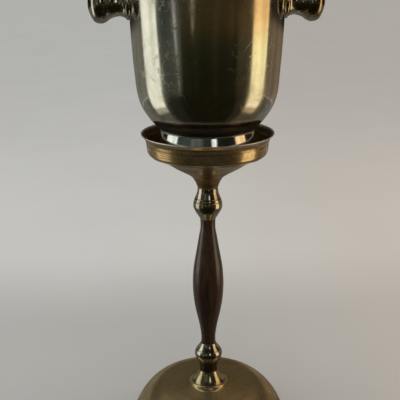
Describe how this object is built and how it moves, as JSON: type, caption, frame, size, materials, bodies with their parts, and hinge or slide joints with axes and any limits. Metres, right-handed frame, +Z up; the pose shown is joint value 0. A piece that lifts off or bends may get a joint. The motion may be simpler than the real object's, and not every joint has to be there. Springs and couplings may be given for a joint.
{
  "type": "champagne bucket stand",
  "caption": "Silvered champagne bucket with turned side knobs, standing in a shallow brass dish on a turned wood column, brass knops and a weighted domed base.",
  "frame": {"origin": "centre of the base's underside, on the floor, on the column's axis", "axes": "+Z up along the column; the bucket's knobs lie along +X and -X"},
  "size_m": [0.31, 0.2478, 0.682],
  "materials": {
    "silver_plate": "worn and tarnished silver plate on brass, polished",
    "aged_brass": "polished brass, darkened with age",
    "bronze": "brown patinated brass, bright where handled",
    "dark_wood": "dark stained turned hardwood under varnish",
    "steel": "plain steel fasteners",
    "cast_iron": "rough casting, painted black",
    "baize": "green wool baize"
  },
  "bodies": {
    "stand": {"felt_pad": "baize", "base_weight": "cast_iron", "base_dome": "aged_brass", "base_cone": "aged_brass", "lower_knop": "aged_brass", "wood_column": "dark_wood", "upper_knop": "aged_brass", "tie_rod": "steel", "rod_washer": "steel", "rod_spring_washer": "steel", "rod_nut": "steel", "funnel_boss": "aged_brass", "dish_funnel": "aged_brass", "dish": "aged_brass"},
    "bucket": {"bucket_body": "silver_plate", "bucket_rim_moulding": "silver_plate", "bucket_foot_ring": "silver_plate", "left_knob_flange": "bronze", "left_knob": "bronze", "left_knob_washer": "steel", "left_knob_screw": "steel", "right_knob_flange": "bronze", "right_knob": "bronze", "right_knob_washer": "steel", "right_knob_screw": "steel"}
  },
  "joints": [
    {"name": "bucket_lift", "type": "slide", "parent": "stand", "child": "bucket", "axis": [0, 0, 1], "range_m": [0, 0.12]}
  ]
}
